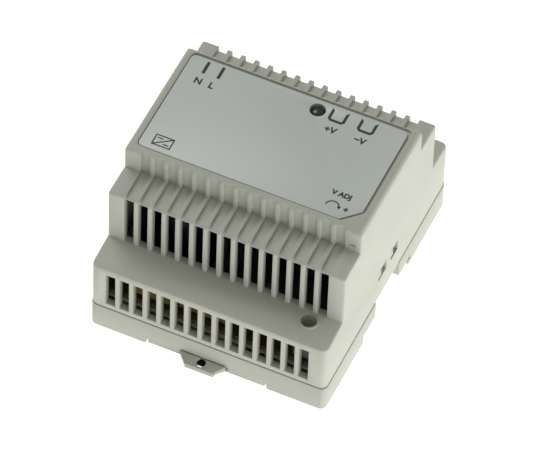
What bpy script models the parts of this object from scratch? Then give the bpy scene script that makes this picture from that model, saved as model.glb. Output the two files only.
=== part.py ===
"""A 60 W class power supply for a 35 mm mounting rail, as an assembly of separate pieces.

The unit lies on its back: +Z points out of the front label, +Y is the terminal edge (up when it hangs on
the rail) and +X is to the right. Sizes are in millimetres here, and each mesh is made in metres. Shapes are
drawn about the middle of the housing, and one empty carries them all so that the box of the whole object,
pull tab included, is centred on the origin.
"""

import math

import bmesh
import bpy
from mathutils import Matrix, Vector

MM = 0.001
GAP = 0.3  # air between neighbouring pieces

# Driving dimensions
WIDTH = 78.6
HEIGHT = 91.4
DEPTH = 58.0
TAB_OUT = 3.5  # pull tab beyond the lower wall, 94.9 mm over all
WALL = 2.4
SEAM_Z = 9.5
COVER_INSET = 0.2  # the cover stands in from the base by this on every side
CORNER_R = 2.2

# Steps of the front: a 45 mm wide nose, a first ledge and a second, sloping ledge
NOSE_Y = 22.5
STEP_Y = 33.75
LEDGE_1_Z = 49.2
LEDGE_2_IN_Z = 28.9
LEDGE_2_OUT_Z = 27.7
EDGE_R = 0.7
NOSE_EDGE_R = 1.4
LEDGE_EDGE_R = 1.0

# Cooling slots
SLOTS = 15
SLOT_PITCH = 4.58
SLOT_W = 3.2
CHANNEL_DEEP = 1.0
LOW_SLOT_X = -0.4  # the low row stands this far left of the high one
LOW_SLOT_Z = (11.6, 25.3)
HIGH_SLOT_Z = (LEDGE_2_IN_Z, 47.4)

# 35 mm rail, 1 mm thick, gripped behind its two edges
RAIL_Y = 1.0
RAIL_W = 35.0
SEAT_Z = 3.0
LIP_Z = 1.9
LIP_BITE = 1.2
RAIL_EDGE_LOW = RAIL_Y - RAIL_W / 2
RAIL_EDGE_HIGH = RAIL_Y + RAIL_W / 2
CHANNEL_LOW = -8.0
CHANNEL_HIGH = 9.7
CHANNEL_ROOF_Z = 8.2
FLOOR = 2.0

# Clip
CLIP_X = -1.0
CLIP_HALF = 7.7
CLIP_Z = (0.2, 2.4)
CLIP_RAIL_Z = 1.3  # side rails of the clip run above this height
CLIP_RAIL_OUT = 1.5
TAB_ROOT_Z = 3.4  # the tab slopes up to this height against the wall
EYE_R = 1.45
GUIDE_TOP_Z = 9.0  # top of the block that guides the clip
SPRING_R = 1.9
SPRING_WIRE_R = 0.3
SPRING_Y = (-36.0, -22.6)
SPRING_Z = 5.1
SPRING_TURNS = 6

# Notches in the foot of the near wall, either side of the clip
NOTCH_X = 19.8

# Board and what stands on it
BOARD_Z = (13.0, 14.6)
STAND_Z = BOARD_Z[1] + GAP
BOARD_HALF = (35.8, 41.8)
BOARD_SCREWS = [(-32.0, -36.5), (32.0, -25.0), (-8.0, 37.6), (32.0, 36.6)]
ARM_Y = [(-6.4, -3.9), (2.7, 4.9)]
WINDOW_Y = [(-6.7, -0.9), (2.4, 7.6)]
WINDOW_Z = (18.4, 22.8)

# Terminals
POLE_Y = 37.5
INPUT_X = [-30.4, -25.4]
OUTPUT_X = [10.7, 15.7, 20.7, 25.7]
POLE_WALL = 2.9
DRIVER_HOLE_R = 2.1
BLOCK_Y = (32.0, 42.0)
BLOCK_TOP_Z = 25.2
CAGE_Z = (15.9, 20.0)
CONTACT_Z = (18.4, 19.0)
SCREW_TIP_Z = 19.3
SCREW_HEAD_Z = (23.0, 24.8)

LAMP = (7.0, 16.4)
LAMP_WINDOW_R = 2.55
TRIMMER = (29.4, -37.2)
TRIMMER_HOLE_R = 2.55
LABEL_CORNER = 5.4
RECESS_GROW = 0.62
RECESS_SHIFT = 0.32  # the label sits a little low and left in its recess

# Near lower corner of each power package, and the height of the hole in its tab
PRIMARY_PACKAGE = (-4.1, -21.0)
SECONDARY_PACKAGE = (20.0, 16.3)
TAB_HOLE_Z = 32.0


# ---------------------------------------------------------------- drawing helpers


def material(name, colour, roughness=0.6, metallic=0.0):
    made = bpy.data.materials.new(name)
    made.use_nodes = True
    made.diffuse_color = (*colour, 1.0)
    shader = made.node_tree.nodes["Principled BSDF"]
    shader.inputs["Base Color"].default_value = (*colour, 1.0)
    shader.inputs["Roughness"].default_value = roughness
    shader.inputs["Metallic"].default_value = metallic
    return made


def add_box(bm, low, high):
    size = [h - l for l, h in zip(low, high)]
    middle = [(l + h) / 2 for l, h in zip(low, high)]
    place = Matrix.Translation(middle) @ Matrix.Diagonal((*size, 1.0))
    bmesh.ops.create_cube(bm, size=1.0, matrix=place)


def add_prism(bm, outline, low, high, axis="X"):
    """A flat outline pushed along an axis, with points (y, z) along X, (x, z) along Y or (x, y) along Z."""
    order = {"X": (2, 0, 1), "Y": (0, 2, 1), "Z": (0, 1, 2)}[axis]
    rings = []
    for level in (low, high):
        ring = []
        for first, second in outline:
            source = (first, second, level)
            ring.append(bm.verts.new([source[index] for index in order]))
        rings.append(ring)
    bm.faces.new(rings[0])
    bm.faces.new(rings[1])
    count = len(outline)
    for i in range(count):
        j = (i + 1) % count
        bm.faces.new((rings[0][i], rings[0][j], rings[1][j], rings[1][i]))


def add_turned(bm, profile, centre, axis="Z", segments=20):
    """A closed profile of (radius, height) points turned about an axis through centre."""
    turn = {"Z": Matrix.Identity(4), "Y": Matrix.Rotation(-math.pi / 2, 4, "X")}
    turn["X"] = Matrix.Rotation(math.pi / 2, 4, "Y")
    place = Matrix.Translation(centre) @ turn[axis]
    rings = []
    for radius, height in profile:
        if radius == 0:
            rings.append([bm.verts.new(place @ Vector((0, 0, height)))])
            continue
        ring = []
        for step in range(segments):
            angle = 2 * math.pi * step / segments
            point = Vector((radius * math.cos(angle), radius * math.sin(angle), height))
            ring.append(bm.verts.new(place @ point))
        rings.append(ring)
    for below, above in zip(rings, rings[1:] + rings[:1]):
        if len(below) == 1 and len(above) == 1:
            continue
        for i in range(segments):
            j = (i + 1) % segments
            corners = [below[i % len(below)], below[j % len(below)]]
            corners += [above[j % len(above)], above[i % len(above)]]
            bm.faces.new(list(dict.fromkeys(corners)))


def add_cylinder(bm, radius, low, high, centre, axis="Z", segments=20):
    """A round bar. Centre is its place across the axis, with 0 along it."""
    add_turned(bm, [(0, low), (radius, low), (radius, high), (0, high)], centre, axis, segments)


def rounded_outline(low, high, radius, steps=4):
    """A rectangle with round corners, as points."""
    points = []
    corners = [(high[0], high[1], 0), (low[0], high[1], 90), (low[0], low[1], 180), (high[0], low[1], 270)]
    for x, y, start in corners:
        inside_x = x - math.copysign(radius, x - (low[0] + high[0]) / 2)
        inside_y = y - math.copysign(radius, y - (low[1] + high[1]) / 2)
        for step in range(steps + 1):
            angle = math.radians(start + 90 * step / steps)
            points.append((inside_x + radius * math.cos(angle), inside_y + radius * math.sin(angle)))
    return points


def new_object(name, bm, origin=(0, 0, 0), stuff=None):
    """Turns a drawing in millimetres into an object in metres, with its own origin, under the carrier."""
    bmesh.ops.translate(bm, verts=bm.verts, vec=-Vector(origin))
    bmesh.ops.scale(bm, verts=bm.verts, vec=(MM, MM, MM))
    bmesh.ops.recalc_face_normals(bm, faces=bm.faces)
    mesh = bpy.data.meshes.new(name)
    bm.to_mesh(mesh)
    bm.free()
    obj = bpy.data.objects.new(name, mesh)
    bpy.context.scene.collection.objects.link(obj)
    obj.location = Vector(origin) * MM
    obj.parent = bpy.data.objects["power_supply"]
    if stuff:
        mesh.materials.append(stuff)
        mesh.shade_smooth()
        mesh.set_sharp_from_angle(angle=math.radians(35))
    return obj


def combine(obj, bm, operation):
    """Joins a drawing to an object, or cuts it away, with a hidden helper and a Boolean."""
    helper = new_object(f"{obj.name}_helper", bm)
    helper.hide_render = True
    helper.display_type = "WIRE"
    modifier = obj.modifiers.new(operation.lower(), "BOOLEAN")
    modifier.operation = operation
    modifier.object = helper
    modifier.use_self = operation == "UNION"


def cut(obj, bm):
    combine(obj, bm, "DIFFERENCE")


def join(obj, bm):
    combine(obj, bm, "UNION")


def chip(name, low, high, stuff):
    """A moulded chip package with its long upper edges broken."""
    bm = bmesh.new()
    add_box(bm, low, high)
    upper = [e for e in bm.edges if min(vert.co.z for vert in e.verts) > high[2] - 0.1]
    bevel_edges(bm, upper, 0.4, 1)
    new_object(name, bm, stuff=stuff)


# ---------------------------------------------------------------- housing


def stepped_outline(inset, bottom_z):
    """The housing's outline across X, from the foot of the upper wall to the foot of the lower wall."""
    right = [
        (HEIGHT / 2 - inset, bottom_z),
        (HEIGHT / 2 - inset, LEDGE_2_OUT_Z - inset + COVER_INSET),
        (STEP_Y - inset + COVER_INSET, LEDGE_2_IN_Z - inset + COVER_INSET),
        (STEP_Y - inset + COVER_INSET, LEDGE_1_Z - inset + COVER_INSET),
        (NOSE_Y - inset + COVER_INSET, LEDGE_1_Z - inset + COVER_INSET),
        (NOSE_Y - inset + COVER_INSET, DEPTH - inset + COVER_INSET),
    ]
    return right + [(-y, z) for y, z in reversed(right)]


def slot_centres():
    return [(i - (SLOTS - 1) / 2) * SLOT_PITCH for i in range(SLOTS)]


def bevel_edges(bm, chosen, width, segments):
    bmesh.ops.bevel(bm, geom=chosen, offset=width, segments=segments, profile=0.5, affect="EDGES")


def is_upright(edge):
    one, two = (vert.co for vert in edge.verts)
    return abs(one.x - two.x) < 1e-6 and abs(one.y - two.y) < 1e-6


def runs_along(edge, y, z):
    """Whether an edge runs along X at this height and this far from the middle."""
    return all(abs(abs(vert.co.y) - y) < 0.01 and abs(vert.co.z - z) < 0.01 for vert in edge.verts)


def cover_shell(stuff):
    """The stepped outside, rounded, less the stepped inside."""
    bottom = SEAM_Z + GAP
    half = WIDTH / 2 - COVER_INSET
    bm = bmesh.new()
    add_prism(bm, stepped_outline(COVER_INSET, bottom), -half, half)
    bmesh.ops.recalc_face_normals(bm, faces=bm.faces)
    outer = HEIGHT / 2 - COVER_INSET - 0.01
    corners = [e for e in bm.edges if is_upright(e) and abs(e.verts[0].co.y) > outer]
    bevel_edges(bm, corners, CORNER_R, 5)
    for y, z, width in ((NOSE_Y, DEPTH, NOSE_EDGE_R), (STEP_Y, LEDGE_1_Z, LEDGE_EDGE_R)):
        bevel_edges(bm, [e for e in bm.edges if runs_along(e, y, z)], width, 3)
    bm.normal_update()
    sharp = []
    for edge in bm.edges:
        above = max(vert.co.z for vert in edge.verts) > bottom + 0.01
        turned = edge.calc_face_angle(0) > math.radians(40)
        if above and turned and edge.is_convex:
            sharp.append(edge)
    bevel_edges(bm, sharp, EDGE_R, 2)
    cover = new_object("cover", bm, stuff=stuff)

    inside = bmesh.new()
    add_prism(inside, stepped_outline(WALL + COVER_INSET, bottom - 1), -half + WALL, half - WALL)
    cut(cover, inside)
    return cover


def cut_slots(cover):
    """Two rows of slots on each long side, with shallow channels between the ribs above the high row."""
    half_slot = SLOT_W / 2
    wall_y = HEIGHT / 2
    low_row = bmesh.new()
    high_row = bmesh.new()
    channels = bmesh.new()
    for x in slot_centres():
        left, right = x - half_slot, x + half_slot
        low = (left + LOW_SLOT_X, -wall_y - 1, LOW_SLOT_Z[0])
        add_box(low_row, low, (right + LOW_SLOT_X, -wall_y + WALL + 1, LOW_SLOT_Z[1]))
        for side in (-1, 1):
            near, far = sorted((side * (STEP_Y - WALL - 1), side * (STEP_Y + 1)))
            add_box(high_row, (left, near, HIGH_SLOT_Z[0]), (right, far, HIGH_SLOT_Z[1]))
            floor_y = NOSE_Y - CHANNEL_DEEP
            floor_z = LEDGE_1_Z - CHANNEL_DEEP
            lintel_y = STEP_Y - CHANNEL_DEEP
            outline = [
                (side * floor_y, floor_z),
                (side * (lintel_y - 0.8), floor_z),
                (side * (lintel_y - 0.25), floor_z - 0.25),
                (side * lintel_y, floor_z - 0.8),
                (side * lintel_y, HIGH_SLOT_Z[1] - 0.1),
                (side * (STEP_Y + 1), HIGH_SLOT_Z[1] - 0.1),
                (side * (STEP_Y + 1), LEDGE_1_Z + 1),
                (side * (NOSE_Y + 1), LEDGE_1_Z + 1),
                (side * (NOSE_Y + 1), DEPTH + 1),
                (side * floor_y, DEPTH + 1),
            ]
            add_prism(channels, outline, left, right)
    cut(cover, channels)
    cut(cover, low_row)
    cut(cover, high_row)


def cut_openings(cover):
    """Label recess, lamp window, trimmer hole, terminal holes, snap windows and one small latch slit."""
    holes = bmesh.new()
    add_prism(holes, label_outline(RECESS_GROW, RECESS_SHIFT), DEPTH - 0.8, DEPTH + 1, "Z")
    cut(cover, holes)

    rounds = bmesh.new()
    add_cylinder(rounds, LAMP_WINDOW_R, DEPTH - WALL - 1, DEPTH + 1, (*LAMP, 0), segments=24)
    add_cylinder(rounds, TRIMMER_HOLE_R, 20.0, 31.0, (*TRIMMER, 0), segments=24)
    low, high = LEDGE_2_OUT_Z - WALL - 2, LEDGE_2_IN_Z + 1
    for x in INPUT_X + OUTPUT_X:
        add_cylinder(rounds, DRIVER_HOLE_R, low, high, (x, POLE_Y, 0), segments=16)
    cut(cover, rounds)

    boxes = bmesh.new()
    half = WIDTH / 2
    for x in INPUT_X + OUTPUT_X:
        add_box(boxes, (x - 1.8, HEIGHT / 2 - WALL - 1, 15.8), (x + 1.8, HEIGHT / 2 + 1, 20.2))
    for side in (-1, 1):
        near, far = sorted((side * (half - WALL - 1), side * (half + 1)))
        for low, high in WINDOW_Y:
            add_box(boxes, (near, low, WINDOW_Z[0]), (far, high, WINDOW_Z[1]))
    add_box(boxes, (34.7, -NOSE_Y - 1, 51.4), (37.0, -NOSE_Y + 1.0, 52.0))
    cut(cover, boxes)


def add_trimmer_collar(cover):
    """A round guide under the trimmer hole, with a slightly raised rim."""
    tube = bmesh.new()
    add_cylinder(tube, TRIMMER_HOLE_R + 0.6, 21.6, 28.9, (*TRIMMER, 0), segments=24)
    join(cover, tube)


def label_outline(grow, shift=0.0):
    """The label's outline, with one large chamfer and three small corners, grown and shifted as asked."""
    left, right = shift - 36.3 - grow, shift + 35.5 + grow
    low, high = shift - 19.5 - grow, shift + 20.2 + grow
    small = 1.4 + grow / 3
    big = LABEL_CORNER + grow * 0.6
    return [
        (left, low + small),
        (left + small * 0.3, low + small * 0.3),
        (left + small, low),
        (right - big, low),
        (right, low + big),
        (right, high - small),
        (right - small * 0.3, high - small * 0.3),
        (right - small, high),
        (left + small, high),
        (left + small * 0.3, high - small * 0.3),
        (left, high - small),
    ]


def front_label(stuff):
    bm = bmesh.new()
    add_prism(bm, label_outline(0), DEPTH - 0.5, DEPTH - 0.1, "Z")
    label = new_object("front_label", bm, stuff=stuff)
    window = bmesh.new()
    add_cylinder(window, LAMP_WINDOW_R, DEPTH - 2, DEPTH + 1, (*LAMP, 0), segments=24)
    cut(label, window)
    return label


def base_outline():
    """The base across X: two feet, the rail seat with the upper hook between them, and the deep channel."""
    half = HEIGHT / 2
    return [
        (-half, 0),
        (RAIL_EDGE_LOW - 0.4, 0),
        (RAIL_EDGE_LOW - 0.4, SEAT_Z + GAP),
        (RAIL_EDGE_LOW + 1.5, SEAT_Z + GAP),
        (RAIL_EDGE_LOW + 1.5, SEAT_Z),
        (CHANNEL_LOW, SEAT_Z),
        (CHANNEL_LOW, CHANNEL_ROOF_Z),
        (CHANNEL_HIGH, CHANNEL_ROOF_Z),
        (CHANNEL_HIGH, SEAT_Z),
        (RAIL_EDGE_HIGH - LIP_BITE - GAP, SEAT_Z),
        (RAIL_EDGE_HIGH - LIP_BITE - GAP, SEAT_Z + GAP),
        (RAIL_EDGE_HIGH + GAP, SEAT_Z + GAP),
        (RAIL_EDGE_HIGH + GAP, LIP_Z),
        (RAIL_EDGE_HIGH - LIP_BITE, LIP_Z),
        (RAIL_EDGE_HIGH - LIP_BITE, 0),
        (half, 0),
        (half, SEAM_Z),
        (-half, SEAM_Z),
    ]


def base_tray(stuff):
    half = WIDTH / 2
    bm = bmesh.new()
    add_prism(bm, base_outline(), -half, half)
    base = new_object("base", bm, stuff=stuff)

    plan = bmesh.new()
    outline = rounded_outline((-half, -HEIGHT / 2), (half, HEIGHT / 2), CORNER_R, 5)
    add_prism(plan, outline, -1, SEAM_Z + 1, "Z")
    combine(base, plan, "INTERSECT")

    inner = HEIGHT / 2 - WALL
    low_edge = RAIL_EDGE_LOW - 0.4
    high_edge = RAIL_EDGE_HIGH + GAP
    seat_top = SEAT_Z + GAP + FLOOR
    top = SEAM_Z + 1
    pockets = bmesh.new()
    low_pocket = [
        (-inner, FLOOR),
        (low_edge - FLOOR, FLOOR),
        (low_edge - FLOOR, seat_top),
        (CHANNEL_LOW - FLOOR, seat_top),
        (CHANNEL_LOW - FLOOR, top),
        (-inner, top),
    ]
    high_pocket = [
        (inner, FLOOR),
        (inner, top),
        (CHANNEL_HIGH + FLOOR, top),
        (CHANNEL_HIGH + FLOOR, seat_top),
        (high_edge + FLOOR, seat_top),
        (high_edge + FLOOR, FLOOR),
    ]
    add_prism(pockets, low_pocket, -half + WALL, half - WALL)
    add_prism(pockets, high_pocket, -half + WALL, half - WALL)
    cut(base, pockets)
    return base


def add_base_inside(base):
    """Posts for the board screws, the clip's guide block and the snap arms that hold the cover."""
    posts = bmesh.new()
    for x, y in BOARD_SCREWS:
        add_cylinder(posts, 3.0, FLOOR - 0.5, BOARD_Z[0] - GAP, (x, y, 0), segments=16)
    join(base, posts)

    block = bmesh.new()
    reach = CLIP_HALF + CLIP_RAIL_OUT + 1.8
    near, far = -HEIGHT / 2 + 1, RAIL_EDGE_LOW - 1.4
    add_box(block, (CLIP_X - reach, near, FLOOR - 0.5), (CLIP_X + reach, far, GUIDE_TOP_Z))
    join(base, block)

    arms = bmesh.new()
    inside = WIDTH / 2 - WALL - COVER_INSET - GAP
    face = WIDTH / 2 - COVER_INSET - GAP
    for side in (-1, 1):
        outline = [
            (side * (inside - 1.8), SEAM_Z - 1),
            (side * inside, SEAM_Z - 1),
            (side * inside, WINDOW_Z[0] + GAP),
            (side * face, WINDOW_Z[0] + GAP),
            (side * face, WINDOW_Z[1] - 1.6),
            (side * (inside + 0.4), WINDOW_Z[1] - GAP),
            (side * (inside - 1.8), WINDOW_Z[1] - GAP),
        ]
        for low, high in ARM_Y:
            add_prism(arms, outline, low, high, "Y")
    join(base, arms)


def cut_base_openings(base):
    """Side notches, screw pilots, the clip's groove, its spring pocket and the two notches beside it."""
    half = WIDTH / 2
    boxes = bmesh.new()
    for side in (-1, 1):
        near, far = sorted((side * (half - WALL + 0.1), side * (half + 1)))
        add_box(boxes, (near, CHANNEL_LOW, CHANNEL_ROOF_Z - 1), (far, CHANNEL_HIGH, SEAM_Z + 1))
    cut(base, boxes)

    pilots = bmesh.new()
    for x, y in BOARD_SCREWS:
        add_cylinder(pilots, 1.3, 4.0, BOARD_Z[0] + 1, (x, y, 0), segments=12)
    cut(base, pilots)

    groove = bmesh.new()
    narrow = CLIP_HALF - CLIP_RAIL_OUT + GAP
    wide = CLIP_HALF + GAP
    outline = [
        (CLIP_X - narrow, -1),
        (CLIP_X + narrow, -1),
        (CLIP_X + narrow, CLIP_RAIL_Z - GAP),
        (CLIP_X + wide, CLIP_RAIL_Z - GAP),
        (CLIP_X + wide, CLIP_Z[1] + GAP),
        (CLIP_X - wide, CLIP_Z[1] + GAP),
        (CLIP_X - wide, CLIP_RAIL_Z - GAP),
        (CLIP_X - narrow, CLIP_RAIL_Z - GAP),
    ]
    add_prism(groove, outline, -HEIGHT / 2 - 1, RAIL_EDGE_LOW + 0.2, "Y")
    cut(base, groove)

    pocket = bmesh.new()
    reach = SPRING_R + SPRING_WIRE_R + 0.4
    add_box(
        pocket,
        (CLIP_X - reach, SPRING_Y[0] - GAP, 1.5),
        (CLIP_X + reach, SPRING_Y[1] + GAP + 2.0 + GAP, SPRING_Z + reach),
    )
    cut(base, pocket)

    notches = bmesh.new()
    wall = -HEIGHT / 2
    for x in (-NOTCH_X, NOTCH_X):
        outline = [(x - 0.8, -0.5), (x + 0.6, -0.5), (x + 0.2, 1.2), (x + 0.15, 2.5), (x - 0.15, 2.5)]
        add_prism(notches, outline, wall - 1, wall + WALL - 0.5, "Y")
    cut(base, notches)

    lift = bmesh.new()
    outline = [(wall - 1, -0.5), (wall + 1.3, -0.5), (wall - 0.2, 1.0), (wall - 1, 1.0)]
    add_prism(lift, outline, -NOTCH_X, NOTCH_X)
    cut(base, lift)


# ---------------------------------------------------------------- rail clip


def rail_clip(stuff):
    """A sliding latch: nose under the rail's lower edge, side rails in the groove, pull tab outside."""
    wall = -HEIGHT / 2
    tip = wall - TAB_OUT
    nose_y = RAIL_EDGE_LOW - 0.6
    narrow = CLIP_HALF - CLIP_RAIL_OUT
    bm = bmesh.new()
    add_box(bm, (CLIP_X - narrow, wall + 0.5, CLIP_Z[0]), (CLIP_X + narrow, nose_y, CLIP_Z[1]))
    clip = new_object("rail_clip", bm, stuff=stuff)

    rails = bmesh.new()
    low, high = (CLIP_X - CLIP_HALF, wall + 0.6, CLIP_RAIL_Z), (CLIP_X + CLIP_HALF, nose_y - 0.1, CLIP_Z[1])
    add_box(rails, low, high)
    join(clip, rails)

    tab = bmesh.new()
    outline = [
        (CLIP_X - CLIP_HALF, wall + 1.0),
        (CLIP_X - CLIP_HALF, wall - GAP),
        (CLIP_X - 4.8, tip),
        (CLIP_X + 4.8, tip),
        (CLIP_X + CLIP_HALF, wall - GAP),
        (CLIP_X + CLIP_HALF, wall + 1.0),
    ]
    add_prism(tab, outline, CLIP_RAIL_Z + 0.05, CLIP_Z[1] - 0.1, "Z")
    join(clip, tab)
    ramp = bmesh.new()
    outline = [
        (CLIP_X - CLIP_HALF + 0.1, wall - GAP - 0.05),
        (CLIP_X - 4.85, tip + 0.03),
        (CLIP_X + 4.85, tip + 0.03),
        (CLIP_X + CLIP_HALF - 0.1, wall - GAP - 0.05),
    ]
    add_prism(ramp, outline, CLIP_Z[1] - 0.5, CLIP_Z[1], "Z")
    for vert in ramp.verts:
        if vert.co.z > CLIP_Z[1] - 0.1 and vert.co.y > wall - 1:
            vert.co.z = TAB_ROOT_Z
    join(clip, ramp)

    under = bmesh.new()
    outline = [
        (CLIP_X - narrow + 0.2, wall + 1.0),
        (CLIP_X - 4.7, tip + 0.05),
        (CLIP_X + 4.7, tip + 0.05),
        (CLIP_X + narrow - 0.2, wall + 1.0),
    ]
    add_prism(under, outline, CLIP_Z[0] + 0.05, CLIP_RAIL_Z, "Z")
    join(clip, under)

    nose = bmesh.new()
    reach = RAIL_EDGE_LOW + LIP_BITE
    under_z = CLIP_Z[0] + 0.1
    outline = [(nose_y - 2, under_z), (reach - 0.9, under_z), (reach, 1.2), (reach, 1.8), (nose_y - 2, 1.8)]
    add_prism(nose, outline, CLIP_X - narrow + 0.1, CLIP_X + narrow - 0.1)
    join(clip, nose)

    lug = bmesh.new()
    half = SPRING_R + SPRING_WIRE_R
    lug_y = SPRING_Y[1] + GAP
    add_box(lug, (CLIP_X - half, lug_y, 1.8), (CLIP_X + half, lug_y + 2.0, SPRING_Z + half))
    join(clip, lug)

    eye = bmesh.new()
    outline = []
    for step in range(16):
        angle = 2 * math.pi * step / 16
        outline.append((CLIP_X + EYE_R * math.cos(angle), wall - EYE_R - 0.15 + EYE_R * math.sin(angle)))
    add_prism(eye, outline, -1, 4, "Z")
    cut(clip, eye)


def clip_spring(stuff):
    """A compression coil along Y, with flat-lying end turns."""
    points = []
    per_turn = 12
    low, high = SPRING_Y[0] + SPRING_WIRE_R, SPRING_Y[1] - SPRING_WIRE_R
    total = SPRING_TURNS * per_turn
    for step in range(total + 1):
        angle = 2 * math.pi * step / per_turn
        y = low + (high - low) * step / total
        points.append((CLIP_X + SPRING_R * math.cos(angle), y, SPRING_Z + SPRING_R * math.sin(angle)))
    curve = bpy.data.curves.new("clip_spring", "CURVE")
    curve.dimensions = "3D"
    curve.bevel_depth = SPRING_WIRE_R * MM
    curve.bevel_resolution = 1
    curve.use_fill_caps = True
    spline = curve.splines.new("POLY")
    spline.points.add(len(points) - 1)
    for place, point in zip(spline.points, points):
        place.co = (*(Vector(point) * MM), 1.0)
    curve.materials.append(stuff)
    spring = bpy.data.objects.new("clip_spring", curve)
    bpy.context.scene.collection.objects.link(spring)
    spring.parent = bpy.data.objects["power_supply"]


# ---------------------------------------------------------------- board


def arm_clearance(bm, half_x, low, high):
    """Cutters that keep a flat sheet clear of the snap arms."""
    inside = WIDTH / 2 - WALL - COVER_INSET - GAP
    for side in (-1, 1):
        near, far = sorted((side * (inside - 1.8 - GAP), side * (half_x + 1)))
        add_box(bm, (near, CHANNEL_LOW, low), (far, CHANNEL_HIGH, high))


def circuit_board(stuff):
    half_x, half_y = BOARD_HALF
    bm = bmesh.new()
    add_prism(bm, rounded_outline((-half_x, -half_y), (half_x, half_y), 2.0, 3), *BOARD_Z, "Z")
    board = new_object("circuit_board", bm, stuff=stuff)
    notches = bmesh.new()
    arm_clearance(notches, half_x, BOARD_Z[0] - 1, BOARD_Z[1] + 1)
    for x, y in BOARD_SCREWS:
        add_cylinder(notches, 1.6, BOARD_Z[0] - 1, BOARD_Z[1] + 1, (x, y, 0), segments=12)
    cut(board, notches)


def insulation_sheet(stuff):
    half_x, half_y = BOARD_HALF
    low, high = 11.0, 11.4
    bm = bmesh.new()
    add_box(bm, (-half_x, -half_y, low), (half_x, half_y, high))
    sheet = new_object("insulation_sheet", bm, stuff=stuff)
    notches = bmesh.new()
    arm_clearance(notches, half_x, low - 1, high + 1)
    for x, y in BOARD_SCREWS:
        add_cylinder(notches, 3.4, low - 1, high + 1, (x, y, 0), segments=12)
    cut(sheet, notches)


def board_screw(name, x, y, stuff):
    """A pan-head screw with a straight slot."""
    head = STAND_Z
    bm = bmesh.new()
    profile = [(0, 6.0), (1.0, 6.0), (1.0, head), (2.5, head), (2.3, head + 1.6), (0, head + 1.9)]
    add_turned(bm, profile, (x, y, 0), segments=14)
    screw = new_object(name, bm, origin=(x, y, head), stuff=stuff)
    slot = bmesh.new()
    add_box(slot, (x - 3, y - 0.35, head + 1.0), (x + 3, y + 0.35, head + 3))
    cut(screw, slot)


# ---------------------------------------------------------------- terminals


def terminal_block(name, poles, pairs, stuff):
    """A block open underneath, with a pocket, a screw hole and a wire entry for each pole, and room for the
    strips that join a pair of poles."""
    low_x, high_x = poles[0] - POLE_WALL, poles[-1] + POLE_WALL
    bm = bmesh.new()
    add_box(bm, (low_x, BLOCK_Y[0], STAND_Z), (high_x, BLOCK_Y[1], BLOCK_TOP_Z))
    block = new_object(name, bm, stuff=stuff)
    pockets = bmesh.new()
    entries = bmesh.new()
    for x in poles:
        add_box(pockets, (x - 2.0, BLOCK_Y[0] + 0.6, STAND_Z - 1), (x + 2.0, BLOCK_Y[1] - 1.6, 21.9))
        add_box(entries, (x - 1.7, BLOCK_Y[1] - 3, 16.0), (x + 1.7, BLOCK_Y[1] + 1, 20.0))
        add_cylinder(entries, 1.4, 21.0, SCREW_HEAD_Z[0] + 1, (x, POLE_Y, 0), segments=12)
    for first, second in pairs:
        add_box(entries, (first, BLOCK_Y[0] + 0.6, STAND_Z - 2), (second, BLOCK_Y[0] + 2.0, STAND_Z + 1.0))
    cut(block, pockets)
    cut(block, entries)
    bores = bmesh.new()
    low, high = SCREW_HEAD_Z[0] - GAP, BLOCK_TOP_Z + 1
    for x in poles:
        add_cylinder(bores, DRIVER_HOLE_R, low, high, (x, POLE_Y, 0), segments=16)
    cut(block, bores)


def terminal_screw(name, x, stuff):
    bm = bmesh.new()
    low, high = SCREW_HEAD_Z
    profile = [(0, SCREW_TIP_Z), (1.1, SCREW_TIP_Z), (1.1, low), (1.8, low)]
    profile += [(1.8, high - 0.2), (1.6, high), (0, high)]
    add_turned(bm, profile, (x, POLE_Y, 0), segments=16)
    screw = new_object(name, bm, origin=(x, POLE_Y, high), stuff=stuff)
    slot = bmesh.new()
    add_box(slot, (x - 2.5, POLE_Y - 0.3, high - 0.8), (x + 2.5, POLE_Y + 0.3, high + 1))
    cut(screw, slot)


def clamp_cage(name, x, stuff):
    """A box ring that the screw lifts, to press a wire up against the contact."""
    low, high = CAGE_Z
    bm = bmesh.new()
    outer = [(x - 1.7, low), (x + 1.7, low), (x + 1.7, high), (x - 1.7, high)]
    add_prism(bm, outer, POLE_Y - 2.5, POLE_Y + 2.5, "Y")
    cage = new_object(name, bm, origin=(x, POLE_Y, low), stuff=stuff)
    window = bmesh.new()
    add_box(window, (x - 1.2, POLE_Y - 4, low + 0.6), (x + 1.2, POLE_Y + 4, high - 0.7))
    cut(cage, window)
    hole = bmesh.new()
    add_cylinder(hole, 1.4, high - 1.5, high + 1, (x, POLE_Y, 0), segments=12)
    cut(cage, hole)


def contact(name, poles, stuff):
    """A bent strip: a foot at the board and a tongue in each cage. Poles of one polarity share a strip."""
    low, high = CONTACT_Z
    start = BLOCK_Y[0] + 0.9
    bm = bmesh.new()
    for x in poles:
        outline = [
            (start, STAND_Z),
            (start + 0.8, STAND_Z),
            (start + 0.8, low),
            (POLE_Y + 2.4, low),
            (POLE_Y + 2.4, high),
            (start, high),
        ]
        add_prism(bm, outline, x - 0.9, x + 0.9)
    strip = new_object(name, bm, stuff=stuff)
    if len(poles) > 1:
        bar = bmesh.new()
        add_box(bar, (poles[0], start + 0.1, STAND_Z), (poles[-1], start + 0.7, STAND_Z + 0.7))
        join(strip, bar)


# ---------------------------------------------------------------- parts on the board


def can(name, centre, radius, height, stuff):
    """An upright electrolytic capacitor with a crimped neck near its foot."""
    neck = radius - 0.5
    profile = [
        (0, 0),
        (radius - 0.3, 0),
        (radius, 0.4),
        (radius, 1.6),
        (neck, 2.1),
        (radius, 2.6),
        (radius, height - 0.5),
        (radius - 0.6, height),
        (0, height),
    ]
    bm = bmesh.new()
    add_turned(bm, profile, (*centre, STAND_Z), segments=24 if radius > 6 else 16)
    return new_object(name, bm, stuff=stuff)


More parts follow.
